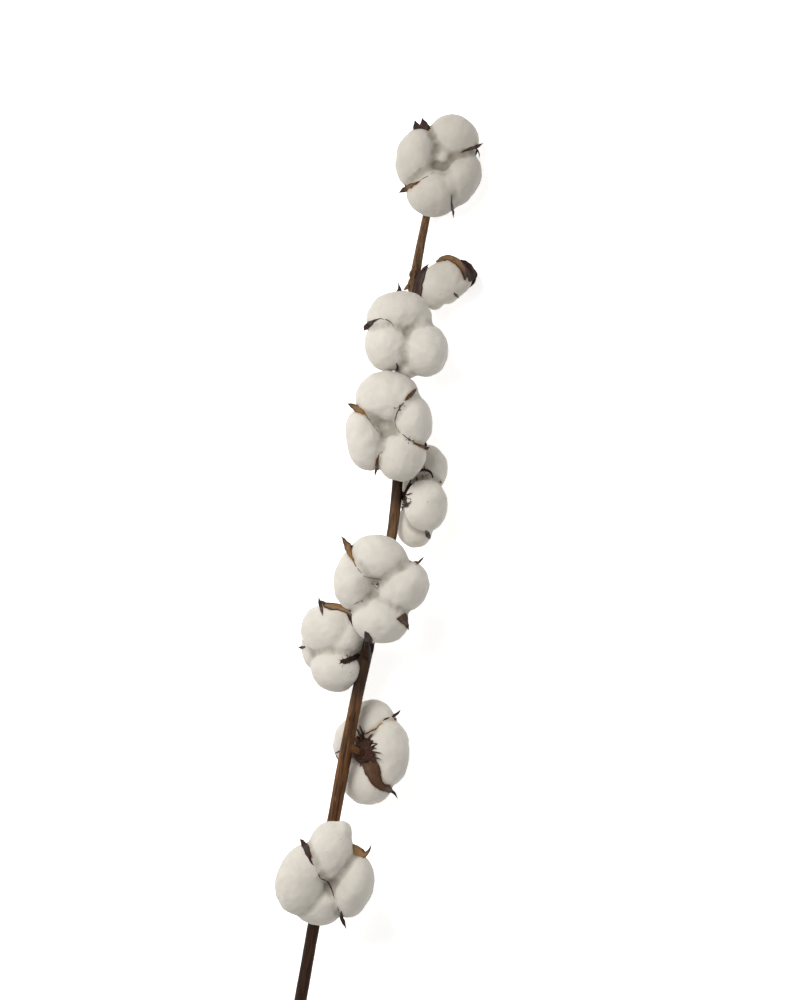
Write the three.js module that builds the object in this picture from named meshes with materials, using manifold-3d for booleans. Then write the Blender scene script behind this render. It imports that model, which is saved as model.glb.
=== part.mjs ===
// A cut stem of dried cotton with nine open bolls, lying on a table.
// Millimetres: +Z up, +Y along the stem towards its tip, the table at z = 0.
import * as THREE from 'three';
import { mergeVertices } from 'three/addons/utils/BufferGeometryUtils.js';
import Module from 'manifold-3d';

const GAP = 0.45; // air between two separate pieces
const MIDDLE = [-11.6, -61.7]; // middle of the laid-out stem, which becomes x = y = 0
const STEM_SIDES = 8;
const STALK_SIDES = 6;
const VALVE_THICK = 0.9;
const VALVE_STEPS = 4;
const ROOM_BEHIND = 5;
const LINT_DETAIL = 4;
const LINT_EVEN = 0.4; // unevenness below this is left out of the lint
const BRACT_THICK = 0.8;
const SEPTUM_THICK = 0.9;
const SEPTUM_DEEP = 5;
const SEPTUM_OUT = 0.8; // how far its edge stands out of the lint
const VALVE_WIDTHS = [2.4, 4.8, 5.3, 4, 0.4]; // half widths from the base to the tip

// Centre line of the stem from the cut end to the tip: x, y, z, radius.
const STEM = [
  [-69.5, -355, 27, 4.0], [-63, -318, 30, 3.9], [-56.4, -281.4, 32.5, 3.75],
  [-51.7, -254.4, 34, 3.75], [-45.6, -222, 35, 3.9], [-39.3, -189, 35.8, 3.8],
  [-33, -154.2, 36, 4.1], [-26.4, -120, 35.7, 3.65], [-20.8, -95, 35.1, 3.9],
  [-17.2, -78, 34.3, 3.6], [-11.6, -52, 32.8, 3.5], [-5.1, -24, 31, 3.2],
  [-2, 2, 28.6, 3.4], [-1, 20, 27, 3.1], [0.6, 43, 25, 3.1], [3.4, 72, 21.8, 2.8],
  [5.6, 100, 18.6, 3.0], [7.2, 122, 16, 2.8], [9.3, 137, 14.2, 3.1],
  [12, 152, 11.6, 2.7], [15.6, 169.8, 8.4, 2.5], [18.8, 184, 5.2, 2.3],
  [21, 192.5, 3.3, 2.1], [22.2, 196.5, 3, 2.0], [22.7, 198.6, 3.7, 1.9],
];

// Each boll has its own frame at its middle: w points out of its open face, v is as near to +Y as
// it can be, u is across. size: of the base. locks: u, v, half across, half up, turn in degrees,
// w, half deep. valves: angle round w, reach and w of the tip, belly radius, width, and the points
// u, v that the partition's edge runs through on its way in. bracts: angles, length, rise of the
// tips. stalk: y on the stem where it leaves, and the length of its bend.
const BOLLS = [
  {
    name: 'boll_1', at: [22.8, 201.6, 16.5], face: [0.04, 0.16, 0.98], deep: 11, size: 1,
    locks: [
      [-12.2, 5, 12.8, 18.2, -12, 0, 17], [9.2, 16.6, 15.2, 14, -30, 1, 16],
      [13, -8, 11.5, 17, -25, 0, 16.5], [-2.6, -16, 16, 15, -8, 0.5, 17],
      [2.2, 4.8, 6, 6.5, 0, 6.5, 6],
    ],
    valves: [[110, 29.5, 5, 24.6, 1.05, []], [22, 29.5, 4, 25, 0.75, []],
      [215, 28, 5, 23, 0.85, [[-5, -6.2]]], [288, 31.5, 3, 25, 0.7, []]],
    bracts: [[160, 60, 330], 7.5, 6], stalk: null,
  },
  {
    name: 'boll_2', at: [28.2, 129.8, 15.6], face: [0.82, 0.56, 0.1], deep: 17, size: 0.8,
    locks: [
      [-4.5, 1.5, 10.5, 12.6, 0, -2, 17.5], [3, 4, 11.5, 10, 0, 0, 15],
      [4, -4, 11, 8.5, 0, 0, 14.5], [-2, -4.5, 10, 8, 0, 2.5, 12.5],
    ],
    valves: [[100, 10, 15.5, 15.2, 1, []], [285, 12.5, 2, 11.5, 0.6, []],
      [350, 7, 19, 14.5, 1.25, []]],
    bracts: [[120, 170, 230], 10, 9], stalk: [112, 3],
  },
  {
    name: 'boll_3', at: [1.8, 100.2, 39.6], face: [0.03, 0.03, 1], deep: 15, size: 1,
    locks: [
      [-8, 13, 16, 12, 25, 0, 15], [7.6, 11.5, 14, 10.5, -50, -2, 13],
      [-9.6, -7, 12.8, 15.8, 0, 0, 15], [13.6, -9.8, 13.4, 16, 12, 0, 16],
    ],
    valves: [[167, 22.5, 3, 21.5, 0.8, [[-12.6, 7.6], [-4.2, 4.2]]], [95, 28.5, -1, 25, 0.5, []],
      [262, 22.5, -1, 20, 0.6, []], [14, 19, -4, 18, 0.8, []]],
    bracts: [[115, 215, 330], 8, 4], stalk: [96, 6],
  },
  {
    name: 'boll_4', at: [-6, 43.2, 46.2], face: [-0.03, 0.02, 1], deep: 16, size: 1,
    locks: [
      [-2.6, 17.6, 18, 16, 5, 0, 16], [-14.8, -7.2, 11.4, 18.6, 12, 0, 15],
      [13.2, 4.4, 12, 16.2, 8, 0, 15], [6.4, -16.4, 14.4, 15, 0, 0, 16],
    ],
    valves: [[152, 28.5, 3, 24, 0.8, [[-16.2, 8.8]]],
      [55, 28.5, 4, 25, 0.65, [[10.4, 17], [6.6, 11]]],
      [334, 27, 5, 24.2, 0.7, [[12.2, -7.6], [4.7, -2.1]]],
      [253, 31, 2, 26, 0.6, [[-7.4, -17.9], [-4.8, -14.2]]]],
    bracts: [[100, 190, 300], 8, 4], stalk: [38, 7],
  },
  {
    name: 'boll_5', at: [14.4, 1.8, 21.5], face: [0.93, -0.1, -0.35], deep: 12.5, size: 0.7,
    locks: [
      [0, 16.5, 14, 14.5, 0, 1, 12.5], [-13.5, -7, 11.5, 16.5, 0, -0.5, 12.5],
      [4, -17.5, 13, 13, 0, -2.5, 10.5], [12.5, 3, 11, 15, 0, 0, 12],
    ],
    valves: [[140, 19.5, 2, 18, 0.7, []], [256, 24.5, 1, 21.5, 0.6, []],
      [50, 21.5, 3, 20.5, 0.8, []], [335, 21, 3, 20, 0.8, []]],
    bracts: [[165, 115, 240], 5, 2], stalk: [0, 3],
  },
  {
    name: 'boll_6', at: [-12, -52.8, 54.6], face: [0, 0.02, 1], deep: 16, size: 1,
    locks: [
      [-1, 17.2, 17.6, 14.2, -8, 0, 16], [-15.4, 5, 12, 17.4, -4, 0, 15],
      [13.2, 0, 17.2, 13.8, 42, 0, 16], [0.4, -18.2, 16.6, 14.4, -4, 0, 15.5],
    ],
    valves: [[127, 38.5, 7, 29, 0.85, [[-14.8, 13.7], [-7, 6.5], [1.8, 5.4]]],
      [35, 32.5, 3, 28, 0.6, []], [305, 31, 5, 25.5, 0.9, [[9.5, -17.1]]],
      [215, 23, -2, 21.5, 0.8, [[-10, -7.2]]]],
    bracts: [[80, 180, 280], 8, 4], stalk: [-57, 7],
  },
  {
    name: 'boll_7', at: [-41.4, -88.8, 22.2], face: [-0.85, 0.3, 0.43], deep: 13, size: 1,
    locks: [
      [14.5, 7.5, 12.5, 15, 0, 1, 13], [-11, 12.5, 13, 14, 0, 3, 13.5],
      [15, -12.5, 13.5, 13.5, 0, -3, 13.5], [-12.5, -8, 11.8, 12.5, 0, -4, 9],
    ],
    valves: [[340, 25, 1.5, 22.5, 0.5, []], [104, 28.5, 13, 24.5, 1.2, []],
      [186, 26, 8, 22, 0.7, []], [283, 27.5, -1, 24, 0.7, []]],
    bracts: [[345, 60, 230], 8, 4], stalk: [-98, 12],
  },
  {
    name: 'boll_8', at: [-16.8, -153, 18.8], face: [0.42, -0.1, -0.9], deep: 15, size: 1,
    locks: [
      [-11, 0.5, 12.5, 20, 0, -1, 14], [1, 17, 14.5, 15, 0, 1, 13.5],
      [2, -17, 15, 13.5, 0, 0, 14], [13.5, 6, 11.5, 15, 0, 1, 13],
    ],
    valves: [[123, 31, 3, 25.5, 0.5, []], [240, 31, 4, 26, 0.85, []],
      [358, 25, 2, 22, 0.6, []], [60, 25, 2, 22, 0.6, []]],
    bracts: [[95, 175, 235], 6, 4], stalk: [-147.5, 6],
  },
  {
    name: 'boll_9', at: [-45, -223.8, 57.8], face: [0.05, -0.06, 1], deep: 16, size: 1,
    locks: [
      [-13.6, -2.8, 14.8, 21.4, -14, 0, 17], [3.4, 13, 13.6, 18.6, -6, 0, 16],
      [16.6, -6.8, 12.2, 19, -14, 0, 16], [-3.6, -16.5, 15.5, 14, -8, -3, 13],
      [10, 25.4, 5.4, 6.4, 0, 1, 9],
    ],
    valves: [[119, 24, 4, 22.5, 0.8, [[-9.4, 10], [-4.4, 3.4]]], [32, 35, 6, 26, 1.1, []],
      [292, 35, 2, 28, 0.7, [[7, -15.5]]], [225, 22, -2, 21, 0.8, []]],
    bracts: [[90, 200, 310], 8, 4], stalk: [-229, 7],
  },
];

// Which bolls press on a neighbour: the second one's lint is dented by the first one.
const PRESSES = [['boll_3', 'boll_2'], ['boll_4', 'boll_3'], ['boll_4', 'boll_5'],
  ['boll_6', 'boll_7'], ['boll_6', 'boll_5'], ['boll_9', 'boll_8']];

const wasm = await Module();
wasm.setup();
const V = (x, y, z) => new THREE.Vector3(x, y, z);
const rad = THREE.MathUtils.degToRad;

// A three.js geometry as a solid that can be joined and cut.
function solid(geometry, matrix = new THREE.Matrix4()) {
  const bare = geometry.index ? geometry.toNonIndexed() : geometry.clone();
  bare.deleteAttribute('normal');
  bare.deleteAttribute('uv');
  bare.applyMatrix4(matrix);
  const merged = mergeVertices(bare, 1e-4);
  return new wasm.Manifold(new wasm.Mesh({
    numProp: 3,
    vertProperties: merged.attributes.position.array,
    triVerts: new Uint32Array(merged.index.array),
  }));
}

function joined(solids) {
  return solids.reduce((whole, next) => whole.add(next));
}

function meshOf(body, name, material) {
  const { vertProperties, triVerts } = body.getMesh();
  const geometry = new THREE.BufferGeometry();
  geometry.setAttribute('position', new THREE.BufferAttribute(vertProperties, 3));
  geometry.setIndex(new THREE.BufferAttribute(triVerts, 1));
  geometry.translate(-MIDDLE[0], -MIDDLE[1], 0);
  geometry.computeVertexNormals();
  const mesh = new THREE.Mesh(geometry, material);
  mesh.name = name;
  return mesh;
}

// A closed skin over rings of points, each ring the same way round; hub is the ring's point
// that the end faces fan out from.
function skin(rings, hub = 0) {
  const n = rings[0].length;
  const last = (rings.length - 1) * n;
  const index = [];
  for (let i = 0; i + 1 < rings.length; i += 1) {
    for (let j = 0; j < n; j += 1) {
      const [a, b] = [i * n + j, i * n + (j + 1) % n];
      index.push(a, b, b + n, a, b + n, a + n);
    }
  }
  for (let j = 1; j + 1 < n; j += 1) {
    const [p, q] = [(hub + j) % n, (hub + j + 1) % n];
    index.push(hub, q, p, last + hub, last + p, last + q);
  }
  const geometry = new THREE.BufferGeometry();
  geometry.setAttribute('position',
    new THREE.Float32BufferAttribute(rings.flat().flatMap((p) => p.toArray()), 3));
  geometry.setIndex(index);
  return geometry;
}

// A round rod along points with a radius for each one.
function rod(points, radii, sides) {
  let side = V(1, 0, 0);
  const rings = points.map((p, i) => {
    const along = points[Math.min(i + 1, points.length - 1)].clone()
      .sub(points[Math.max(i - 1, 0)]).normalize();
    side = side.clone().addScaledVector(along, -side.dot(along)).normalize();
    const up = along.clone().cross(side);
    return Array.from({ length: sides }, (_, k) => {
      const a = (2 * Math.PI * k) / sides;
      return p.clone().addScaledVector(side, radii[i] * Math.cos(a))
        .addScaledVector(up, radii[i] * Math.sin(a));
    });
  });
  return solid(skin(rings));
}

function stemAt(y) {
  const i = Math.max(1, STEM.findIndex((row) => row[1] >= y));
  const [a, b] = [STEM[i - 1], STEM[i]];
  const t = (y - a[1]) / (b[1] - a[1]);
  return a.map((value, k) => value + t * (b[k] - value));
}

// From a boll's own frame to the part's.
function frameOf(boll) {
  const w = V(...boll.face).normalize();
  const u = V(0, 1, 0).cross(w).normalize();
  const v = w.clone().cross(u);
  return new THREE.Matrix4().makeBasis(u, v, w).setPosition(V(...boll.at));
}

// Height of the locks' front surface over (u, v), or the lowest value when there is none.
function frontOf(boll, u, v) {
  return Math.max(...boll.locks.map(([lu, lv, hu, hv, turn, w, hw]) => {
    const [c, s] = [Math.cos(rad(turn)), Math.sin(rad(turn))];
    const x = ((u - lu) * c + (v - lv) * s) / hu;
    const y = (-(u - lu) * s + (v - lv) * c) / hv;
    return w + hw * Math.sqrt(Math.max(0, 1 - x * x - y * y));
  }));
}

// The puffy locks joined in the middle: a ball whose skin is drawn out to the farthest lock in
// each direction, grown by a margin.
function locksOf(boll, grow) {
  const core = [0, 0, 9, 9, 0, -1, 0.55 * boll.deep];
  const inverses = [...boll.locks, core].map(([u, v, hu, hv, turn, w, hw]) => {
    const own = new THREE.Matrix4().makeRotationZ(rad(turn)).scale(V(hu, hv, hw));
    return own.setPosition(V(u, v, w)).invert();
  });
  const ball = new THREE.IcosahedronGeometry(1, LINT_DETAIL);
  const position = ball.attributes.position;
  for (let i = 0; i < position.count; i += 1) {
    const way = V().fromBufferAttribute(position, i).normalize();
    const reach = Math.max(...inverses.map((inverse) => {
      const start = V(0, 0, 0).applyMatrix4(inverse);
      const step = way.clone().applyMatrix4(inverse).sub(start);
      const [a, b, c] = [step.dot(step), step.dot(start), start.dot(start) - 1];
      return b * b < a * c ? 0 : (Math.sqrt(b * b - a * c) - b) / a;
    }));
    way.multiplyScalar(reach + grow);
    position.setXYZ(i, way.x, way.y, way.z);
  }
  return solid(ball, frameOf(boll)).asOriginal().simplify(LINT_EVEN);
}

// A thin curved strip in the plane at an angle round w: path of r and w, half widths, and how far
// its edges stand forward of its middle. A strip with a margin is the room that it takes in the
// lint, open to the back.
function strip(angle, path, widths, cup, thick, grow) {
  const back = grow > 0 ? ROOM_BEHIND : 0;
  const across = V(-Math.sin(angle), Math.cos(angle), 0);
  const at = (r, w) => V(r * Math.cos(angle), r * Math.sin(angle), w);
  const rings = path.map(([r, w], i) => {
    const [a, b] = [path[Math.max(0, i - 1)], path[Math.min(path.length - 1, i + 1)]];
    const along = at(b[0], b[1]).sub(at(a[0], a[1])).normalize();
    const front = across.clone().cross(along).negate();
    const half = widths[i] + grow;
    const lift = cup * widths[i];
    const skinHalf = thick / 2 + grow;
    const end = i === 0 ? -grow : i === path.length - 1 ? grow : 0;
    const point = (k, side) => at(r, w).addScaledVector(along, end)
      .addScaledVector(across, k * half)
      .addScaledVector(front, (k ? lift : 0) + side * skinHalf - (side < 0 ? back : 0));
    const ring = [point(-1, -1), point(0, -1), point(1, -1), point(1, 1), point(0, 1), point(-1, 1)];
    return cup ? ring : ring.filter((_, k) => k % 3 !== 1);
  });
  return skin(rings, cup ? 1 : 0);
}

function smoothPath(points, count) {
  const curve = new THREE.CatmullRomCurve3(points.map(([r, w]) => V(r, w, 0)));
  return curve.getPoints(count).map((p) => [p.x, p.y]);
}

function valvePath(boll, [, reach, tipW, belly]) {
  const b = boll.deep;
  return smoothPath([[2.6, 4.9 - b], [0.4 * belly, 4.2 - b], [0.8 * belly, 7.6 - b],
    [belly, tipW - 7], [reach, tipW]], VALVE_STEPS);
}

// A dome in the calyx with pointed valves, some with a partition on the inside.
function burOf(boll, grow) {
  const { deep, size } = boll;
  const frame = frameOf(boll);
  const profile = [[0, 1.5 - grow], [3.2 * size + grow, 1.5 - grow], [6 * size + grow, 4.6],
    [4 * size + grow, 6.2 + grow], [0, 6.8 + grow]].map(([r, w]) => new THREE.Vector2(r, w - deep));
  const dome = new THREE.LatheGeometry(profile, 6).rotateX(Math.PI / 2);
  const parts = [solid(dome, frame)];
  for (const valve of boll.valves) {
    const angle = rad(valve[0]);
    const path = valvePath(boll, valve);
    const widths = VALVE_WIDTHS.map((x) => x * valve[4]);
    parts.push(solid(strip(angle, path, widths, 0.35, VALVE_THICK, grow), frame));
    if (valve[5].length) parts.push(solid(septum(boll, valve, grow), frame));
  }
  return joined(parts);
}

// The partition: a thin wall from the valve's middle in along the crease between two locks.
function septum(boll, valve, grow) {
  const angle = rad(valve[0]);
  const radius = valve[3] + 0.2;
  const line = [[radius * Math.cos(angle), radius * Math.sin(angle)], ...valve[5]]
    .map(([u, v]) => V(u, v, 0));
  const half = SEPTUM_THICK / 2 + grow;
  const rings = line.map((p, i) => {
    const along = line[Math.min(i + 1, line.length - 1)].clone()
      .sub(line[Math.max(i - 1, 0)]).normalize();
    const side = V(-along.y, along.x, 0);
    const q = p.clone().addScaledVector(along, i === line.length - 1 ? grow : 0);
    const top = i ? frontOf(boll, p.x, p.y) + SEPTUM_OUT : valve[2] - 2;
    const low = i ? top - SEPTUM_DEEP : valve[2] - 9;
    const point = (k, w) => V(q.x + k * half * side.x, q.y + k * half * side.y, w);
    return [point(-1, low - grow), point(-1, top + grow), point(1, top + grow), point(1, low - grow)];
  });
  return skin(rings);
}

// A shallow cup on the stalk's end with the ragged fingers of three dry bracts.
function calyxOf(boll, grow) {
  const frame = frameOf(boll);
  const { deep, size } = boll;
  const profile = [[0, -grow], [4 * size + grow, -grow], [7.4 * size + grow, 4.2 + grow],
    [6.5 * size, 4.2 + grow], [3.5 * size, 1.2], [0, 1.2]]
    .map(([r, w]) => new THREE.Vector2(r, w - deep));
  const cup = new THREE.LatheGeometry(profile, 6).rotateX(Math.PI / 2);
  const parts = [solid(cup, frame)];
  const [middles, length, rise] = boll.bracts;
  const root = 5 * size;
  middles.forEach((middle, k) => {
    [-15, 15].forEach((offset, j) => {
      const long = length + 1.8 * ((k + 2 * j) % 3);
      const path = [[root, 2], [root + 0.5 * long, 1.2 + 0.3 * rise],
        [root + long, 2.4 + rise * (0.6 + 0.3 * ((j + k) % 3))]].map(([r, w]) => [r, w - deep]);
      parts.push(solid(strip(rad(middle + offset), path, [2, 2.1, 0.4], 0, BRACT_THICK, grow),
        frame));
    });
  });
  return joined(parts);
}

// The stem with every stalk, the broken spur and the dry flap.
function stemOf(grow) {
  const line = new THREE.CatmullRomCurve3(STEM.map(([x, y, z]) => V(x, y, z)));
  const points = line.getPoints(STEM.length - 1);
  const parts = [rod(points, STEM.map((row) => row[3] + grow), STEM_SIDES)];
  for (const boll of BOLLS) {
    if (!boll.stalk) continue;
    const [y, bend] = boll.stalk;
    const from = V(...stemAt(y).slice(0, 3));
    const frame = frameOf(boll);
    const to = V(0, 0, -boll.deep - GAP + grow).applyMatrix4(frame);
    const knee = V(0, 0, -boll.deep - bend).applyMatrix4(frame);
    const curve = new THREE.QuadraticBezierCurve3(from, knee, to);
    const radii = [3.1, 2.4, 2, 1.9, 2.1].map((r) => r + grow);
    parts.push(rod(curve.getPoints(4), radii, STALK_SIDES));
  }
  const spur = rod([V(-19.8, -95, 36), V(-19.2, -89, 46), V(-20.6, -80, 55)],
    [2.6, 2.4, 0.8].map((r) => r + grow), 6);
  parts.push(grow > 0 ? joined([spur, spur.translate([0, -2, 20])]).hull() : spur);
  const flap = [V(8, 132, 15.5), V(4.6, 129.4, 16), V(2.4, 126.4, 15.6)];
  parts.push(rod(flap, [1.6, 1.4, 0.6].map((r) => r + grow), 6));
  return joined(parts);
}

const brown = (color, roughness) => new THREE.MeshStandardMaterial({ color, roughness, metalness: 0 });
const stemMaterial = brown(0x5a3a24, 0.75);
const calyxMaterial = brown(0x35241c, 0.9);
const burMaterial = brown(0x6e4728, 0.65);
const lintMaterial = brown(0xe6e1d6, 1);

const table = solid(new THREE.BoxGeometry(1500, 1500, 100).translate(0, 0, -50));
const stemRoom = stemOf(GAP);
const calyxRoom = BOLLS.map((boll) => calyxOf(boll, GAP));
const burRoom = BOLLS.map((boll) => burOf(boll, GAP));
const lintRoom = BOLLS.map((boll) => locksOf(boll, 2 * GAP));

// The largest piece of a cut body: thin slivers that a cut leaves loose fall away.
function largest(body) {
  return body.decompose().reduce((a, c) => (a.volume() > c.volume() ? a : c));
}

const part = new THREE.Group();
part.add(meshOf(stemOf(0), 'stem', stemMaterial));
BOLLS.forEach((boll, i) => {
  let calyx = calyxOf(boll, 0).subtract(stemRoom);
  let bur = burOf(boll, 0).subtract(calyxRoom[i]);
  let lint = locksOf(boll, 0).subtract(burRoom[i]).subtract(calyxRoom[i]).subtract(stemRoom);
  BOLLS.forEach((other, j) => {
    if (i === j) return;
    lint = lint.subtract(calyxRoom[j]).subtract(burRoom[j]);
    if (PRESSES.some(([hard, soft]) => hard === other.name && soft === boll.name)) {
      lint = lint.subtract(lintRoom[j]);
    }
  });
  calyx = largest(largest(calyx.subtract(table)).asOriginal().simplify(0.1));
  bur = largest(largest(bur.subtract(table)).asOriginal().simplify(0.08));
  lint = largest(largest(lint.subtract(table)).asOriginal().simplify(0.15));
  if (lint.intersect(bur).volume() > 0.005) lint = largest(lint.subtract(bur));
  part.add(meshOf(calyx, `${boll.name}_calyx`, calyxMaterial));
  part.add(meshOf(bur, `${boll.name}_bur`, burMaterial));
  part.add(meshOf(lint, `${boll.name}_lint`, lintMaterial));
});

export default part;
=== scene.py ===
"""A cut stem of dried cotton with nine open bolls, lying on a pale table.

Metres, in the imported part's frame: +Y runs along the stem to its tip and +Z is up. Each boll is
a cup with ragged bracts, a bur of pointed valves, and the lint in soft locks.
"""
import math
import random

import bpy
from mathutils import Matrix, Vector, noise
from mathutils.bvhtree import BVHTree
from mathutils.kdtree import KDTree


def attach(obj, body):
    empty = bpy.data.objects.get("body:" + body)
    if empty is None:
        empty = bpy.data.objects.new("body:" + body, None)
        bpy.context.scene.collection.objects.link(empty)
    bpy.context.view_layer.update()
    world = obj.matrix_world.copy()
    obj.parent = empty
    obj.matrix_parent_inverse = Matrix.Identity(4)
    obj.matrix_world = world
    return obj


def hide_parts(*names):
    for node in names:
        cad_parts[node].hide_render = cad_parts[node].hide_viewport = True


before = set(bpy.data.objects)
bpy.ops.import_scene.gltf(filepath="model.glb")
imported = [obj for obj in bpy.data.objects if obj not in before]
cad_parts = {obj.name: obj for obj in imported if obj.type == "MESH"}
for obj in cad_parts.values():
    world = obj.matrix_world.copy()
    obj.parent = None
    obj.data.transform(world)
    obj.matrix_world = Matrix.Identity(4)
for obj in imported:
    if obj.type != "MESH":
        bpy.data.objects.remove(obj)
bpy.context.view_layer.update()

MM = 0.001
MIDDLE = Vector((-11.6, -61.7, 0.0))  # middle of the laid-out stem, which is x = y = 0 here
random.seed(11)

# ---- layout, in millimetres, as the solids have it ----

# Centre line of the stem from the cut end to the tip: x, y, z, radius.
STEM = [
    (-69.5, -355, 27, 4.0), (-63, -318, 30, 3.9), (-56.4, -281.4, 32.5, 3.75),
    (-51.7, -254.4, 34, 3.75), (-45.6, -222, 35, 3.9), (-39.3, -189, 35.8, 3.8),
    (-33, -154.2, 36, 4.1), (-26.4, -120, 35.7, 3.65), (-20.8, -95, 35.1, 3.9),
    (-17.2, -78, 34.3, 3.6), (-11.6, -52, 32.8, 3.5), (-5.1, -24, 31, 3.2),
    (-2, 2, 28.6, 3.4), (-1, 20, 27, 3.1), (0.6, 43, 25, 3.1), (3.4, 72, 21.8, 2.8),
    (5.6, 100, 18.6, 3.0), (7.2, 122, 16, 2.8), (9.3, 137, 14.2, 3.1),
    (12, 152, 11.6, 2.7), (15.6, 169.8, 8.4, 2.5), (18.8, 184, 5.2, 2.3),
    (21, 192.5, 3.3, 2.1), (22.2, 196.5, 3, 2.0), (22.7, 198.6, 3.7, 1.9),
]

# A broken side shoot and a dry flap of bark, as (x, y, z) and radius from root to tip, and the
# heights along y of the swellings where stalks have left.
SPUR = [(-19.8, -95, 36, 2.6), (-19.2, -89, 46, 2.4), (-20.6, -80, 55, 0.8)]
FLAP = [(8, 132, 15.5, 1.6), (4.6, 129.4, 16, 1.4), (2.4, 126.4, 15.6, 0.6)]
KNOTS = (-154, -131, 22, 131, 136)
STALK_RADII = [3.3, 2.6, 2.1, 2.0, 2.3]

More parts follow.
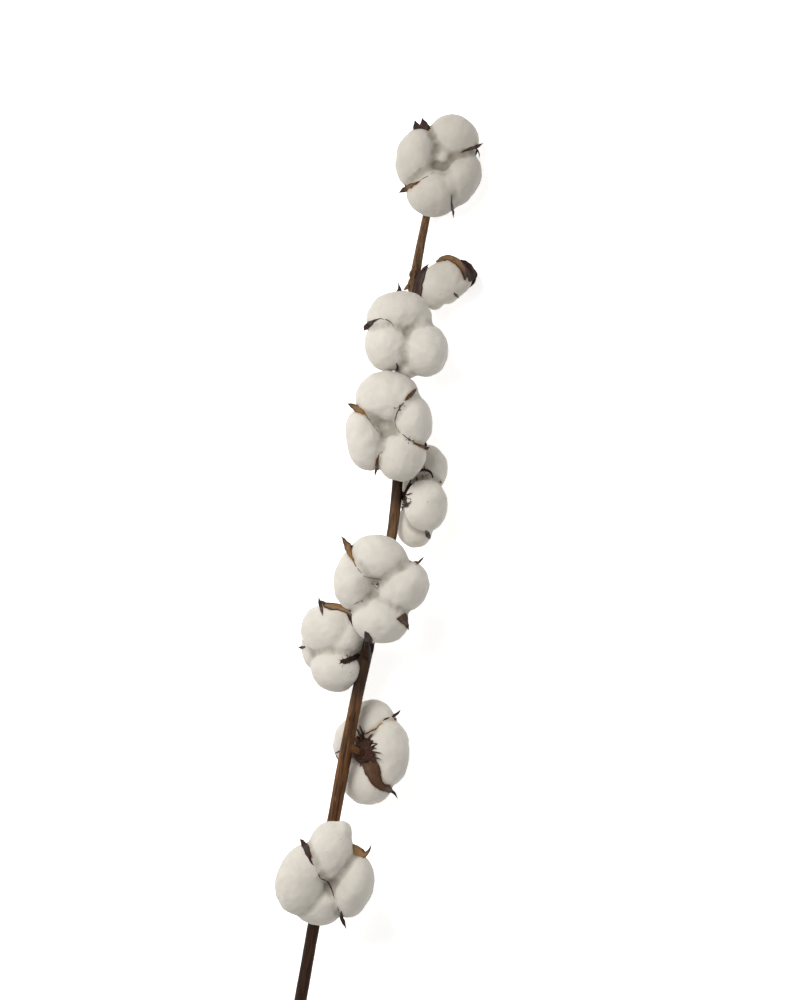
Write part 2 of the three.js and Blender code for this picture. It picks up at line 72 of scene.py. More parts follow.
# Each boll has its own frame at its middle: w points out of its open face, v is as near to +Y as
# it can be, u is across. locks: u, v, half across, half up, turn in degrees, w, half deep.
# valves: angle round w, reach and w of the tip, belly radius, width. bracts: angles, length, rise
# of their tips. stalk: y of its foot on the stem, and how far it runs straight out of the boll.
BOLLS = [
    dict(
        name="boll_1", at=(22.8, 201.6, 16.5), face=(0.04, 0.16, 0.98), deep=11, size=1.0,
        locks=[(-12.2, 5, 12.8, 18.2, -12, 0, 17), (9.2, 16.6, 15.2, 14, -30, 1, 16),
               (13, -8, 11.5, 17, -25, 0, 16.5), (-2.6, -16, 16, 15, -8, 0.5, 17),
               (5.5, -13.5, 10.5, 14, -35, 0, 16), (2.2, 4.8, 6, 6.5, 0, 6.5, 6)],
        valves=[(111, 28.5, 5, 25, 1.15), (22, 27.5, 3, 24, 0.6), (215, 26.5, 3, 22, 0.65),
                (288, 29.5, 2, 24, 0.45)],
        bracts=((160, 60, 330), 7.5, 6), stalk=None),
    dict(
        name="boll_2", at=(28.2, 129.8, 15.6), face=(0.82, 0.56, 0.1), deep=17, size=0.8,
        locks=[(-4.5, 2, 10.5, 11.8, 0, -0.4, 15.8), (3, 4, 11.5, 10, 0, 0, 15),
               (4, -3, 11, 6.2, 0, 0, 14.5), (-2, -3.2, 10, 7, 0, 4, 12),
               (-2, -3.2, 8, 5.8, 0, -11.2, 5.6)],
        valves=[(100, 10, 12.5, 14.6, 1), (285, 9, -2, 8, 0.5), (350, 7, 19, 14.5, 1.25)],
        bracts=((110, 140, 175), 8, 9), stalk=(112, 3)),
    dict(
        name="boll_3", at=(1.8, 100.2, 39.6), face=(0.03, 0.03, 1), deep=15, size=1.0,
        locks=[(-2.6, 12.4, 17.6, 12.4, 4, 0, 15.2), (-9, 10.8, 13, 10.5, 25, 0, 13.6),
               (6.6, 10.2, 12.4, 9.6, -50, -2, 12.6), (-8.8, -7, 13.6, 15.8, 0, 0, 15),
               (12.8, -9.8, 14.2, 16, 12, 0, 16), (2.6, -18.4, 8, 8, 0, -5, 11)],
        valves=[(167, 22.5, 3, 21.5, 0.8), (95, 28.5, -1, 25, 0.5), (262, 22.5, -1, 20, 0.6),
                (14, 19, -4, 18, 0.8)],
        bracts=((115, 215, 330), 8, 4), stalk=(96, 6)),
    dict(
        name="boll_4", at=(-6, 43.2, 46.2), face=(-0.03, 0.02, 1), deep=16, size=1.0,
        locks=[(-1.4, 17.8, 18.9, 16, -2, 0, 16), (-14.8, -7.2, 11.4, 18.6, 12, 0, 15),
               (13.2, 4.4, 12, 16.2, 8, 0, 15), (6.4, -16.4, 14.4, 15, 0, 0, 16)],
        valves=[(152, 26.5, 2, 22.5, 0.6), (55, 27, 3, 24, 0.5), (334, 26, 4, 23, 0.5),
                (253, 29, 1, 24, 0.45)],
        bracts=((100, 190, 300), 8, 4), stalk=(38, 7)),
    dict(
        name="boll_5", at=(14.4, 1.8, 21.5), face=(0.93, -0.1, -0.35), deep=12.5, size=0.7,
        locks=[(0, 16.5, 14, 14.5, 0, 0, 12.2), (-13.5, -5.4, 11.5, 15.6, 0, -3.4, 13),
               (4, -17.5, 13, 13, 0, -2.5, 10.5), (12.5, 3, 11, 15, 0, 0, 12)],
        valves=[(140, 15, -3, 14, 0.7), (256, 24.5, 1, 21.5, 0.6), (50, 21.5, 3, 20.5, 0.8),
                (335, 21, 3, 20, 0.8)],
        bracts=((165, 115, 240), 5, 2), stalk=(0, 3)),
    dict(
        name="boll_6", at=(-12, -52.8, 54.6), face=(0, 0.02, 1), deep=16, size=1.0,
        locks=[(-1, 17.2, 17.6, 14.2, -8, 0, 16), (-15.4, 5, 12, 17.4, -4, 0, 15),
               (13.2, 0, 17.2, 13.8, 42, 0, 16), (0.4, -18.2, 16.6, 14.4, -4, 0, 15.5)],
        valves=[(127, 36, 6, 28.5, 0.8), (35, 29, 2, 26, 0.4), (305, 27.5, 2, 23.5, 0.6),
                (215, 23, -2, 21.5, 0.8)],
        bracts=((80, 180, 280), 8, 4), stalk=(-57, 7)),
    dict(
        name="boll_7", at=(-41.4, -88.8, 22.2), face=(-0.85, 0.3, 0.43), deep=13, size=1.0,
        locks=[(2, 9.2, 21, 16, 0, 4.2, 17.2), (8, -12.6, 17.5, 13, 0, -2.8, 13.6),
               (10, 7.4, 15, 13.8, 0, -1, 13.4), (-9, 0.5, 13, 15.5, 0, 0.5, 13.6)],
        valves=[(340, 25, 1.5, 22.5, 0.5), (104, 28.5, 13, 24.5, 1.2), (186, 22, 6, 19, 0.35),
                (283, 27.5, -1, 24, 0.7)],
        bracts=((345, 60, 230), 8, 4), stalk=(-98, 12)),
    dict(
        name="boll_8", at=(-16.8, -153, 18.8), face=(0.42, -0.1, -0.9), deep=15, size=1.0,
        locks=[(-11, 0.5, 12.5, 20, 0, -1, 14), (1, 17, 14.5, 15, 0, 1, 13.5),
               (2, -17, 15, 13.5, 0, 0, 14), (13.5, 6, 11.5, 15, 0, 1, 13)],
        valves=[(123, 28, 3, 24, 0.35), (240, 28, 3, 24, 0.6), (358, 25, 2, 22, 0.6),
                (60, 25, 2, 22, 0.6)],
        bracts=((95, 175, 235), 6, 4), stalk=(-147.5, 6)),
    dict(
        name="boll_9", at=(-45, -223.8, 57.8), face=(0.05, -0.06, 1), deep=16, size=1.0,
        locks=[(-13.6, -2.8, 14.8, 21.4, -14, 0, 17), (3.4, 13, 13.6, 18.6, -6, 0, 16),
               (16.6, -6.8, 12.2, 19, -14, 0, 16), (-3.6, -16.5, 15.5, 14, -8, -3, 13),
               (10, 25.4, 5.4, 6.4, 0, 1, 9)],
        valves=[(119, 22, 1, 20.5, 0.7), (32, 32, 5, 25, 1.0), (292, 30, 0, 26, 0.4),
                (225, 22, -2, 21, 0.8)],
        bracts=((90, 200, 310), 8, 4), stalk=(-229, 7)),
]

# How a strip lies: in a crease, over the locks, over them with its outside up, level, or as a
# thread that is half sunk in a crease.
CREASE, LOCKS, BACK, LEVEL, THREAD = range(5)

# The ends of the valves and the edges of the partitions, which show between the locks: how golden
# each is (black below 0), the height of its tip, how it lies, and its rows of x, y and half width
# from the inner end to the tip.
TRIMS = {
    "boll_1": [
        (0.1, 20.5, LEVEL, [(16.4, 215, 2.4), (15, 220, 4.4), (13.6, 223.6, 4.7),
                            (12.9, 225.4, 4.2), (12.6, 226.4, 3.2)]),
        (-1, 22, LEVEL, [(14.8, 221, 2.8), (14.4, 226, 2.6), (13.4, 230.2, 0.3)]),
        (-1, 22, LEVEL, [(10.8, 221, 2.6), (10, 225, 2.3), (8.9, 228.8, 0.3)]),
        (0, 21, CREASE, [(36.4, 209, 0.1), (39.4, 210.6, 0.6), (43.4, 212.2, 1.4),
                         (46.6, 213.2, 1.2), (50.2, 215.2, 0.1)]),
        (-1, 20, LOCKS, [(45.6, 212.4, 0.4), (47.6, 209.4, 0.4), (47.8, 206, 0.1)]),
        (0.15, 21, CREASE, [(11.6, 191.6, 0.2), (9.2, 190.2, 0.9), (6, 188.4, 2),
                            (2.4, 186.8, 1.6), (-1, 185.2, 0.1)]),
        (-1, 20, THREAD, [(20.4, 197, 0.1), (15.6, 194.2, 0.2), (10.6, 191, 0.3)]),
        (0, 19, CREASE, [(31.2, 183.4, 0.1), (31, 179.6, 0.4), (31.4, 176.2, 1),
                         (32, 173.4, 0.7), (32.5, 170.2, 0.1)]),
    ],
    "boll_2": [
        (0.7, 22, LOCKS, [(21.6, 143.4, 0.5), (25.4, 145.6, 1.3), (29.6, 146, 1.8),
                          (33.8, 144, 2.1), (37.2, 140.6, 2.1), (38.9, 136.8, 1.8),
                          (39, 132.4, 0.5)]),
        (-1, 20, LOCKS, [(36.4, 144.8, 0.4), (39.6, 142.8, 1.6), (42, 139.4, 2.6),
                         (43, 135.4, 2.8), (42, 131.4, 0.8)]),
        (-1, 16, LOCKS, [(32.6, 124.6, 0.3), (34, 123, 0.9), (35.6, 121.6, 0.1)]),
        (-1, 19, LOCKS, [(8.4, 121, 1.6), (10, 127, 2.6), (12, 133.4, 2.6), (14.4, 138.6, 1.6),
                         (17.2, 142.4, 0.1)]),
        (0, 20, LOCKS, [(9.4, 119.6, 1.4), (11.4, 124, 1.8), (12.2, 128.4, 1.2),
                        (12.6, 132, 0.1)]),
    ],
    "boll_3": [
        (-1, 42, CREASE, [(-13.4, 108.2, 0.2), (-15.8, 107.2, 0.8), (-18.2, 105.4, 1.9),
                          (-20.4, 103.4, 1.7), (-21.8, 101.6, 0.2)]),
        (-1, 42, THREAD, [(-3.4, 103, 0.1), (-5.4, 106.4, 0.2), (-10, 108.4, 0.25),
                          (-14.6, 107.8, 0.4)]),
        (-1, 41, LEVEL, [(0.4, 121, 1.4), (-0.2, 126, 1.1), (-1, 130.6, 0.1)]),
        (-1, 40, CREASE, [(-2.4, 82, 0.2), (-1.4, 79.8, 0.7), (-1.8, 78, 0.8),
                          (-2.6, 76.6, 0.1)]),
    ],
    "boll_4": [
        (-1, 49, THREAD, [(-13, 40.4, 0.1), (-16.4, 45.2, 0.15), (-20.6, 51, 0.2)]),
        (-1, 49, THREAD, [(-1.2, 41.6, 0.1), (-3, 46.4, 0.2), (-1.8, 51.4, 0.25),
                          (0.6, 56.4, 0.25), (4, 60.4, 0.3)]),
        (-1, 49, THREAD, [(-1.4, 41.2, 0.1), (2.4, 38.6, 0.25), (6, 36, 0.3),
                          (9.4, 33.8, 0.4)]),
        (-1, 49, THREAD, [(-10.6, 29.2, 0.1), (-12.4, 27.2, 0.2), (-13.6, 24, 0.3)]),
        (0.7, 49, CREASE, [(-20.6, 51, 0.2), (-22.6, 52.6, 1.2), (-25.6, 54.6, 2.2),
                           (-28.6, 56.4, 1.5), (-31.8, 57.7, 0.1)]),
        (0.1, 50, CREASE, [(3, 59.4, 0.2), (4.6, 61, 0.9), (6.4, 62.8, 1.2), (8.2, 64.8, 1),
                           (10, 66.6, 0.2)]),
        (0.2, 50, CREASE, [(7.4, 35, 0.2), (10, 33.4, 0.7), (13, 31.9, 1.1), (15.8, 31.2, 1.2),
                           (17.8, 31.6, 0.2)]),
        (0.1, 48, CREASE, [(-13, 25.8, 0.2), (-13.6, 23.6, 0.7), (-13.9, 20.6, 1),
                           (-14.4, 17.4, 0.7), (-15.1, 14, 0.1)]),
    ],
    "boll_5": [
        (-1, 30, LOCKS, [(5.4, 8.6, 0.4), (7, 13.4, 0.6), (10.4, 16.8, 0.7), (14.4, 18.1, 0.7),
                         (18, 16.8, 0.7), (20, 13.2, 0.2)]),
        (-1, 26, LOCKS, [(0.8, -6.4, 0.2), (3.2, -2, 0.7), (3, 2.8, 0.9), (4.2, 7.2, 0.6),
                         (6.2, 11.2, 0.4)]),
        (-1, 16, LOCKS, [(15.4, -18.2, 0.3), (16.4, -20, 1.3), (17.2, -21.8, 1.5),
                         (17.8, -23.6, 0.3)]),
        (0.1, 26, LOCKS, [(24, 11.6, 0.1), (24.5, 10.8, 0.5), (25, 10, 0.1)]),
    ],
    "boll_6": [
        (-1, 58, THREAD, [(-10, -47.3, 0.1), (-18.8, -46.4, 0.12), (-23, -43.6, 0.15),
                          (-26.4, -39, 0.25), (-28.2, -35.2, 0.3)]),
        (0.9, 61, CREASE, [(-27.2, -37.6, 0.2), (-28.8, -34.4, 0.7), (-30.4, -31.2, 1.5),
                           (-31.2, -27.6, 2.3), (-32.8, -24.6, 1.3), (-35.2, -21.4, 0.1)]),
        (0.1, 57, CREASE, [(9.8, -38.2, 0.2), (11.4, -37, 0.8), (12.8, -35.6, 0.6),
                           (14.2, -34, 0.1)]),
        (0.05, 60, LOCKS, [(0.8, -68.8, 3.4), (2.4, -71.2, 2.8), (4, -74.2, 1.3),
                           (5.3, -78, 0.1)]),
        (-1, 50, THREAD, [(-22, -59.8, 0.1), (-27.6, -62.2, 0.2), (-33.6, -64.4, 0.1)]),
        (-1, 40, LOCKS, [(-18.4, -92, 2.4), (-18.4, -87.6, 3), (-19, -83.4, 2.6),
                         (-20, -80.4, 1.6), (-20.8, -78.2, 0.2)]),
    ],
    "boll_7": [
        (0.95, 30, LOCKS, [(-28.4, -71.6, 0.3), (-31, -67.4, 1.1), (-35.6, -64.6, 1.9),
                           (-40.6, -63.8, 2.2), (-44.6, -63.2, 1.7), (-46.4, -62.4, 0.9)]),
        (0, 31, LOCKS, [(-46.4, -69.6, 0.1), (-47.2, -65.4, 1.1), (-48, -62, 1.1),
                        (-48.8, -58, 0.1)]),
        (-1, 28, LOCKS, [(-21.8, -82, 0.1), (-25.4, -78.4, 0.3), (-28.6, -74.2, 0.4),
                         (-30.4, -70, 0.7), (-32, -67, 0.4)]),
        (-1, 30, LOCKS, [(-35.8, -96.6, 0.8), (-32.6, -96.4, 1.7), (-29, -95.2, 1.6),
                         (-25, -94, 1.7), (-21.4, -93.2, 0.8)]),
        (-1, 18, LOCKS, [(-57.2, -88.4, 0.4), (-59.4, -88.9, 1), (-61.4, -89.2, 0.2)]),
    ],
    "boll_8": [
        (0.3, 20, BACK, [(-22.4, -151, 3), (-19.4, -156.4, 4.6), (-16.8, -162, 5),
                          (-14.8, -167.4, 3.8), (-11.6, -171.8, 2.5), (-7.2, -174.6, 1.5),
                          (-3.8, -176.4, 0.9), (-1.2, -180.2, 0.1)]),
        (0.2, 22, THREAD, [(-23.4, -141.4, 0.4), (-18.8, -139.6, 0.4), (-14.4, -137.6, 0.3),
                           (-11, -134, 0.2)]),
        (-1, 22, CREASE, [(-10.4, -132.6, 0.1), (-8.4, -131.6, 0.5), (-6.4, -131, 0.2)]),
        (-1, 22, CREASE, [(-5, -130.6, 0.3), (-3.4, -129.8, 1), (-1.4, -128.4, 0.8),
                          (0.4, -126.2, 0.1)]),
        (0, 20, LOCKS, [(-36, -151.2, 0.2), (-37.8, -152, 0.5), (-39.6, -152.8, 0.1)]),
    ],
    "boll_9": [
        (-1, 60, THREAD, [(-36.6, -245.4, 0.1), (-38.8, -237, 0.3), (-42.6, -228.6, 0.3),
                          (-47.4, -225, 0.3), (-50.6, -219, 0.4), (-53, -215, 0.4)]),
        (-1, 62, CREASE, [(-52, -216.8, 0.2), (-53.2, -214.4, 0.7), (-54.8, -210.8, 1.7),
                          (-56.4, -206.8, 2.2), (-58.2, -204, 1.3), (-59.8, -202.4, 0.2)]),
        (0.5, 62.6, CREASE, [(-52.2, -213, 0.1), (-54.2, -210, 0.6), (-55.6, -206.6, 0.7),
                             (-56.8, -204, 0.1)]),
        (1, 61, LEVEL, [(-32.4, -209.6, 3.4), (-28.8, -210.2, 5.4), (-25, -210.8, 4.2),
                        (-21.6, -211.4, 2), (-19, -209.8, 0.9), (-16.7, -205.4, 0.1)]),
        (-1, 60, CREASE, [(-35, -244.6, 0.2), (-34.9, -248.4, 1.1), (-34, -251.6, 1.2),
                          (-32, -256.2, 0.1)]),
    ],
}

# Where short stiff fibres stand out: boll, x, y, spread, how many, length.
FRINGES = [
    ("boll_1", 31.6, 174.6, 1.2, 6, 3), ("boll_2", 14.4, 139.6, 2.4, 14, 6),
    ("boll_4", 6, 35.8, 3, 12, 1.8), ("boll_4", -1, 55, 3, 12, 1.8),
    ("boll_5", 7.4, 14, 2.4, 14, 3), ("boll_5", 14.4, 18, 3.6, 16, 2.6),
    ("boll_5", 3.4, 1, 3, 18, 4), ("boll_6", 8.4, -36.6, 3, 10, 2.2),
    ("boll_6", -12.6, -50.4, 2.6, 12, 2), ("boll_7", -24.4, -94.2, 2.2, 30, 3.2),
    ("boll_7", -30, -95.6, 2.2, 34, 3.2), ("boll_7", -34, -96.6, 1.6, 20, 2.6),
    ("boll_9", -56.6, -206.6, 2.4, 8, 2.4),
]

# Bracts torn to fibres that lie over the back of a boll: x, y, how many, length, main direction.
RUFFS = {"boll_8": (-22, -149, 34, 9, 0), "boll_5": (1.6, -1, 10, 5, 30)}

LINT_VOXEL = 0.75 * MM
SWELL = 2.0  # the locks are made this much larger, joined, and drawn in again, in millimetres
FULLNESS = 0.5  # how much of that is kept
PUFFS_HEIGHT = 2.0 * MM
TUFTS_HEIGHT = 0.5 * MM
CREASE_DEPTH = 1.2  # millimetres of depth at which the painted crease shade is darkest
STAIN_REACH = 3 * MM
STEM_VOXEL = 0.6 * MM
BARK_HEIGHT = 0.2 * MM
VALVE_THICK = 0.8 * MM
BRACT_THICK = 0.6 * MM
OVERHEAD = 0.3  # metres up, from where a strip or a fibre is dropped on the lint
TABLE_GAP = 0.00002


# ---- materials ----

class Sock:
    """A shader output that Python arithmetic can be done on."""

    def __init__(self, shader, out):
        self.shader, self.out = shader, out

    def _math(self, operation, a, b):
        return self.shader.node("ShaderNodeMath", {"operation": operation}, {0: a, 1: b})

    def __add__(self, other):
        return self._math("ADD", self, other)

    def __sub__(self, other):
        return self._math("SUBTRACT", self, other)

    def __rsub__(self, other):
        return self._math("SUBTRACT", other, self)

    def __mul__(self, other):
        return self._math("MULTIPLY", self, other)

    __radd__, __rmul__ = __add__, __mul__


class Shader:
    """One material's node tree, with its principled shader at the end."""

    def __init__(self, name, roughness, specular=0.3):
        self.material = bpy.data.materials.new(name)
        self.material.use_nodes = True
        self.tree = self.material.node_tree
        self.end = self.tree.nodes["Principled BSDF"]
        self.end.inputs["Roughness"].default_value = roughness
        self.end.inputs["Specular IOR Level"].default_value = specular

    def node(self, kind, settings, values, out=0):
        made = self.tree.nodes.new(kind)
        for key, value in settings.items():
            if key == "stops":
                ramp = made.color_ramp
                while len(ramp.elements) < len(value):
                    ramp.elements.new(0.5)
                for element, (place, colour) in zip(ramp.elements, value):
                    element.position = place
                    element.color = (*colour, 1)
            else:
                setattr(made, key, value)
        for key, value in values.items():
            self.plug(made.inputs[key], value)
        return Sock(self, made.outputs[out])

    def plug(self, socket, value):
        if isinstance(value, Sock):
            self.tree.links.new(value.out, socket)
        else:
            socket.default_value = value

    def places(self, stretch=(1, 1, 1)):
        here = self.node("ShaderNodeTexCoord", {}, {}, "Object")
        return self.node("ShaderNodeMapping", {}, {"Vector": here, "Scale": stretch})

    def streaks(self, longer):
        """Places drawn out along the stem, which leans from +Y towards +X."""
        here = self.node("ShaderNodeTexCoord", {}, {}, "Object")
        return self.node("ShaderNodeMapping", {"vector_type": "TEXTURE"}, {
            "Vector": here, "Rotation": (0, 0, -0.165), "Scale": (1, longer, 1)})

    def noise(self, where, scale, detail=3.0, rough=0.5):
        return self.node("ShaderNodeTexNoise", {}, {
            "Vector": where, "Scale": scale, "Detail": detail, "Roughness": rough}, "Fac")

    def attribute(self, name):
        return self.node("ShaderNodeAttribute", {"attribute_name": name}, {}, "Fac")

    def ramp(self, value, stops):
        return self.node("ShaderNodeValToRGB", {"stops": stops}, {"Fac": value}, "Color")

    def between(self, value, low, high):
        """0 below low, 1 above high."""
        return self.node("ShaderNodeMapRange", {"interpolation_type": "SMOOTHSTEP"}, {
            "Value": value, "From Min": low, "From Max": high}, "Result")

    def blend(self, share, one, other, kind="MIX"):
        return self.node("ShaderNodeMix", {"data_type": "RGBA", "blend_type": kind}, {
            0: share, 6: one, 7: other}, 2)

    def colour(self, value):
        self.plug(self.end.inputs["Base Color"], value)

    def bump(self, height, distance, strength=1.0):
        self.plug(self.end.inputs["Normal"], self.node("ShaderNodeBump", {}, {
            "Height": height, "Distance": distance, "Strength": strength}, "Normal"))


def paint(red, green, blue):
    """A colour given in 0 to 255 screen values."""
    return tuple(((c / 255 + 0.055) / 1.055) ** 2.4 if c > 10 else c / 3295
                 for c in (red, green, blue))


def tint(red, green, blue):
    return (*paint(red, green, blue), 1)


def lint_material():
    s = Shader("lint", 0.95, 0.1)
    here = s.places()
    clouds = s.noise(here, 90, 3, 0.6)
    base = s.ramp(clouds, [(0.3, paint(196, 190, 180)), (0.7, paint(205, 199, 189))])
    hollow = s.attribute("hollow")
    far = s.node("ShaderNodeSeparateXYZ", {}, {"Vector": here}, "Y")
    # Painted shade: the lint is darkened in its creases, the deeper the darker. It is also made
    # darker and greyer towards the stem's tip, past 0.165 m along y.
    base = s.blend(s.between(far, 0.165, 0.2) * 0.3 + hollow * 0.75, base, tint(128, 120, 107))
    stain = s.attribute("stain")
    patchy = s.between(s.noise(here, 420, 4, 0.7) + stain * 0.5, 0.6, 0.95)
    base = s.blend(stain * patchy * 0.7, base, tint(168, 134, 84))
    fibres = s.noise(s.places((1, 0.25, 1)), 1500, 3, 0.65)
    cross = s.noise(s.places((0.3, 1, 1)), 1300, 3, 0.65)
    specks = s.between(s.noise(here, 700, 0, 0), 0.862, 0.885)
    base = s.blend(specks * 0.6, base, tint(104, 88, 70))
    s.colour(base)
    s.bump(fibres * 0.5 + cross * 0.5 + clouds * 0.8, 0.0006, 0.5)
    s.end.inputs["Sheen Weight"].default_value = 0.12
    s.end.inputs["Sheen Roughness"].default_value = 0.6
    return s.material


def bark_material(name, low, high):
    """Stem bark in long streaks: low and high are its dark and light near the cut and the top."""
    s = Shader(name, 0.55, 0.12)
    here = s.places()
    grain = s.noise(s.streaks(22), 1300, 4, 0.6)
    broad = s.noise(s.streaks(14), 460, 3, 0.5)
    along = s.node("ShaderNodeSeparateXYZ", {}, {"Vector": here}, "Y")
    upper = s.between(along, -0.1, 0.02)
    dark = s.blend(upper, tint(*low[0]), tint(*high[0]))
    light = s.blend(upper, tint(*low[1]), tint(*high[1]))
    mixed = s.blend(s.between(grain * 0.5 + broad * 0.5, 0.34, 0.68), dark, light)
    pale = s.between(s.noise(s.places((1, 0.3, 1)), 300, 2, 0.5), 0.7, 0.76)
    mixed = s.blend(pale * 0.4, mixed, tint(128, 102, 76))
    # Painted shade: two dark bands across the stem, where the bolls above it shade it. The stem is
    # also made darker towards its cut end.
    shaded = (1 - s.between(along, -0.19, -0.15)
              + s.between(along, -0.066, -0.048) * (1 - s.between(along, -0.015, 0.0))
              + s.between(along, 0.055, 0.064) * (1 - s.between(along, 0.075, 0.09)))
    s.colour(s.blend(shaded * 0.75, mixed, tint(28, 17, 13)))
    s.plug(s.end.inputs["Roughness"], 0.45 + 0.3 * grain)
    s.bump(grain + 0.8 * broad, 0.0006, 0.8)
    return s.material


def bur_material(name, brown, golden, rough):
    """Woody valve: darker at its edges and tip, from brown to golden by how golden it is."""
    s = Shader(name, rough, 0.25)
    here = s.places()
    grain = s.noise(here, 900, 4, 0.65)
    blotch = s.noise(here, 220, 3, 0.6)
    ridge = s.node("ShaderNodeTexWave", {"wave_type": "BANDS", "bands_direction": "X"}, {
        "Vector": s.node("ShaderNodeUVMap", {"uv_map": "along"}, {}, "UV"), "Scale": 1.6,
        "Distortion": 2.5, "Detail": 2.0}, "Fac")
    shade = s.between(s.attribute("edge") * 0.65 + s.attribute("tip") * 0.8 + blotch * 0.5
                      + grain * 0.2 - ridge * 0.15, 0.55, 1.15)
    pale = s.blend(s.attribute("gold"), s.blend(grain, tint(*brown[0]), tint(*brown[1])),
                   s.blend(grain, tint(*golden[0]), tint(*golden[1])))
    s.colour(s.blend(shade, pale, s.blend(blotch, tint(30, 21, 17), tint(66, 40, 34))))
    s.bump(ridge * 0.6 + grain, 0.0004, 0.7)
    return s.material


def bract_material():
    s = Shader("bract", 0.8, 0.25)
    here = s.places()
    grain = s.noise(here, 900, 4, 0.7)
    s.colour(s.ramp(grain, [(0.3, paint(26, 16, 12)), (0.55, paint(64, 37, 26)),
                            (0.75, paint(122, 84, 60))]))
    s.bump(grain, 0.0005, 0.9)
    return s.material


# ---- making pieces ----

def alone(obj):
    bpy.ops.object.select_all(action="DESELECT")
    obj.select_set(True)
    bpy.context.view_layer.objects.active = obj
    return obj


def active():
    return bpy.context.view_layer.objects.active


def join(objects, name):
    alone(objects[0])
    for obj in objects[1:]:
        obj.select_set(True)
    if len(objects) > 1:
        bpy.ops.object.join()
    made = active()
    made.name = made.data.name = name
    return made


def modify(obj, kind, **settings):
    """Adds a modifier with these settings and applies it."""
    alone(obj)
    modifier = obj.modifiers.new(kind, kind)
    for key, value in settings.items():
        setattr(modifier, key, value)
    bpy.ops.object.modifier_apply(modifier=modifier.name)


def settle(obj):
    """Puts the object's place into its mesh."""
    alone(obj)
    bpy.ops.object.transform_apply(location=True, rotation=True, scale=True)


def smooth(obj):
    alone(obj)
    bpy.ops.object.shade_smooth()


def clouds(name, size, depth=2):
    texture = bpy.data.textures.new(name, "CLOUDS")
    texture.noise_scale = size
    texture.noise_depth = depth
    return texture


def wear(obj, material, slot, *nodes):
    if material:
        obj.data.materials.clear()
        obj.data.materials.append(material)
    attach(obj, "root")
    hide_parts(*nodes)


def boll_frame(boll):
    """From the boll's own millimetres to metres in the part's frame."""
    w = Vector(boll["face"]).normalized()
    u = Vector((0, 1, 0)).cross(w).normalized()
    v = w.cross(u)
    turn = Matrix((u, v, w)).transposed().to_4x4()
    place = Matrix.Translation((Vector(boll["at"]) - MIDDLE) * MM)
    return place @ turn @ Matrix.Scale(MM, 4)


def above_table(obj):
    """Cuts off what would reach below the table and closes the cut flat."""
    alone(obj)
    if min(vertex.co.z for vertex in obj.data.vertices) > 0.0:
        return
    bpy.ops.object.mode_set(mode="EDIT")
    bpy.ops.mesh.select_all(action="SELECT")
    bpy.ops.mesh.bisect(plane_co=(0, 0, TABLE_GAP), plane_no=(0, 0, 1), use_fill=True,
                        clear_inner=True)
    bpy.ops.object.mode_set(mode="OBJECT")


def attribute_of(obj, name, values):
    made = obj.data.attributes.new(name, "FLOAT", "POINT")
    made.data.foreach_set("value", values)


# ---- the lint ----

def lint_of(boll, material, puffs, tufts):
    """Soft locks that swell together, creased where they meet."""
    place = boll_frame(boll)
    core = (0, 0, 10, 10, 0, -2, 0.55 * boll["deep"])
    locks = []
    for u, v, half_u, half_v, turn, w, half_w in (*boll["locks"], core):
        bpy.ops.mesh.primitive_uv_sphere_add(segments=48, ring_count=32, radius=1)
        lock = active()
        lock.matrix_world = (place @ Matrix.Translation((u, v, w))
                             @ Matrix.Rotation(math.radians(turn), 4, "Z") @ Matrix.Diagonal(
                                 (half_u + SWELL, half_v + SWELL, half_w + SWELL, 1)))
        settle(lock)
        locks.append(lock)
    lint = join(locks, boll["name"] + "_lint_visual")
    modify(lint, "REMESH", mode="VOXEL", voxel_size=LINT_VOXEL)
    modify(lint, "SMOOTH", factor=0.5, iterations=5)
    modify(lint, "DISPLACE", strength=-(SWELL - FULLNESS) * MM, mid_level=0.0)
    modify(lint, "SMOOTH", factor=0.5, iterations=2)
    modify(lint, "DISPLACE", texture=puffs, texture_coords="GLOBAL", strength=PUFFS_HEIGHT,
           mid_level=0.5)
    modify(lint, "DISPLACE", texture=tufts, texture_coords="GLOBAL", strength=TUFTS_HEIGHT,
           mid_level=0.5)
    above_table(lint)
    smooth(lint)
    attribute_of(lint, "hollow", painted_crease_shade_of(lint))
    wear(lint, material, "lint", boll["name"] + "_lint")
    return lint


def painted_crease_shade_of(lint):
    """How deep each place lies in a crease, which sets the painted shade there: how far out of it a
    much smoothed copy lies.
    """
    alone(lint)
    bpy.ops.object.duplicate()
    soft = active()
    modify(soft, "SMOOTH", factor=0.7, iterations=90)
    depths = [(there.co - here.co).dot(here.normal) / MM
              for here, there in zip(lint.data.vertices, soft.data.vertices)]
    alone(soft)
    bpy.ops.object.delete()
    return [min(1.0, max(0.0, depth / CREASE_DEPTH)) for depth in depths]


def stain(lint, bur):
    """Marks how near each place of the lint is to the valves, where it is stained."""
    golden = bur.data.attributes["gold"].data
    woody = [vertex.co for vertex in bur.data.vertices if golden[vertex.index].value > 0.05]
    near = KDTree(len(woody))
    for i, place in enumerate(woody):
        near.insert(place, i)
    near.balance()
    attribute_of(lint, "stain", [max(0.0, 1.0 - near.find(vertex.co)[2] / STAIN_REACH) ** 1.5
                                 for vertex in lint.data.vertices])


# ---- the bur and the calyx ----

def through(points, t):
    """Place and direction at t along a smooth curve through the points."""
    points = [2 * points[0] - points[1], *points, 2 * points[-1] - points[-2]]
    spans = len(points) - 3
    i = min(int(t * spans), spans - 1)
    f = t * spans - i
    p0, p1, p2, p3 = points[i:i + 4]
    place = 0.5 * (2 * p1 + (p2 - p0) * f + (2 * p0 - 5 * p1 + 4 * p2 - p3) * f * f
                   + (3 * p1 - p0 - 3 * p2 + p3) * f ** 3)
    ahead = 0.5 * ((p2 - p0) + 2 * (2 * p0 - 5 * p1 + 4 * p2 - p3) * f
                   + 3 * (3 * p1 - p0 - 3 * p2 + p3) * f * f)
    return place, ahead


